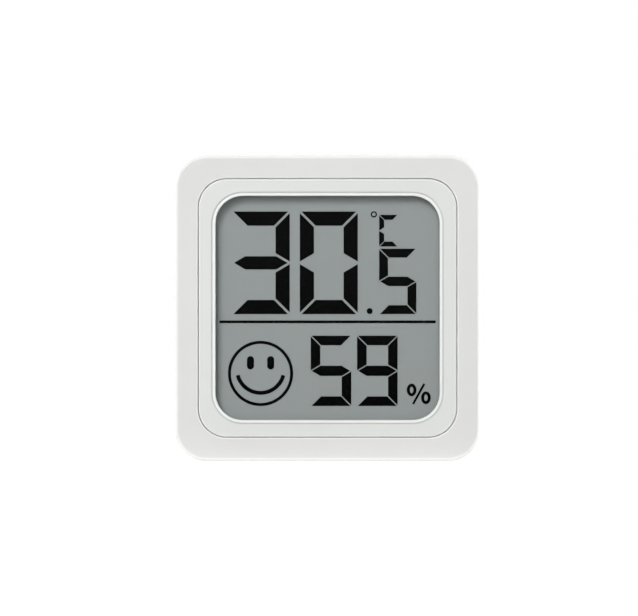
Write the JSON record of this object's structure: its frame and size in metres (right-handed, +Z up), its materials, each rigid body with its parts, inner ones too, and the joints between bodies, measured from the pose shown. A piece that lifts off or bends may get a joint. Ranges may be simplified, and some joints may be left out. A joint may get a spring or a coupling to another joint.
{
  "type": "temperature humidity sensor",
  "caption": "Square white free-standing sensor with a reflective segment display, a coin-turn battery door, a push button and air vents on its back.",
  "frame": {"origin": "under the middle of the case, on the surface that it stands on", "axes": "+X to the right seen from the front, +Y to the back, +Z up; the display looks along -Y"},
  "size_m": [0.043, 0.0126, 0.043],
  "materials": {
    "case_white": "fine moulded texture, white",
    "bezel_white": "smooth satin, white",
    "tape_grey": "foam adhesive, dark grey",
    "window_clear": "clear, matt hard coat",
    "polariser_film": "clear grey film",
    "display_glass": "clear float glass",
    "display_black": "dark liquid crystal",
    "seal_resin": "cured resin",
    "reflector_grey": "matt silver grey reflector",
    "zebra_rubber": "silicone with carbon layers",
    "holder_plastic": "moulded, off white",
    "board_green": "glass laminate with solder mask",
    "screw_steel": "zinc plated",
    "chip_black": "moulded epoxy",
    "crystal_steel": "nickel plated lid",
    "antenna_ceramic": "fired ceramic",
    "tank_resin": "moulded resin, amber",
    "ferrite_grey": "sintered ferrite",
    "capacitor_ceramic": "ceramic with tinned ends",
    "resistor_ceramic": "glazed, tinned ends",
    "switch_black": "moulded, black",
    "spring_steel": "nickel plated spring steel",
    "cell_steel": "stainless, bright",
    "gasket_nylon": "moulded nylon",
    "cell_fill": "pressed pellet",
    "door_white": "fine moulded texture, white",
    "button_grey": "satin, light grey"
  },
  "bodies": {
    "case": {"front_frame": "case_white", "window_bezel": "bezel_white", "window_tape": "tape_grey", "display_window": "window_clear", "lcd_front_polariser": "polariser_film", "lcd_front_glass": "display_glass", "lcd_segments": "display_black", "lcd_seal": "seal_resin", "lcd_rear_glass": "reflector_grey", "lcd_rear_polariser": "reflector_grey", "zebra_strip_upper": "zebra_rubber", "zebra_strip_lower": "zebra_rubber", "lcd_holder": "holder_plastic", "circuit_board": "board_green", "pcb_screws": "screw_steel", "radio_chip": "chip_black", "clock_crystal": "crystal_steel", "chip_antenna": "antenna_ceramic", "tank_capacitor": "tank_resin", "chip_inductor": "ferrite_grey", "chip_capacitors": "capacitor_ceramic", "chip_resistors": "resistor_ceramic", "humidity_sensor": "chip_black", "switch_base": "switch_black", "switch_cover": "spring_steel", "switch_dome": "spring_steel", "negative_contact": "spring_steel", "positive_contact": "spring_steel", "coin_cell_can": "cell_steel", "coin_cell_gasket": "gasket_nylon", "coin_cell_cap": "cell_steel", "coin_cell_core": "cell_fill", "rear_housing": "case_white"},
    "battery_door": {"battery_door": "door_white"},
    "button": {"unit_button": "button_grey", "switch_plunger": "switch_black"}
  },
  "joints": [
    {"name": "door_turn", "type": "hinge", "parent": "case", "child": "battery_door", "pos_m": [0, 0.005, 0.024], "axis": [0, 1, 0], "range_deg": [0, 35]},
    {"name": "button_press", "type": "slide", "parent": "case", "child": "button", "axis": [0, -1, 0], "range_m": [0, 0.0003], "stiffness_N_per_m": 1000, "springref_m": -0.0002}
  ]
}
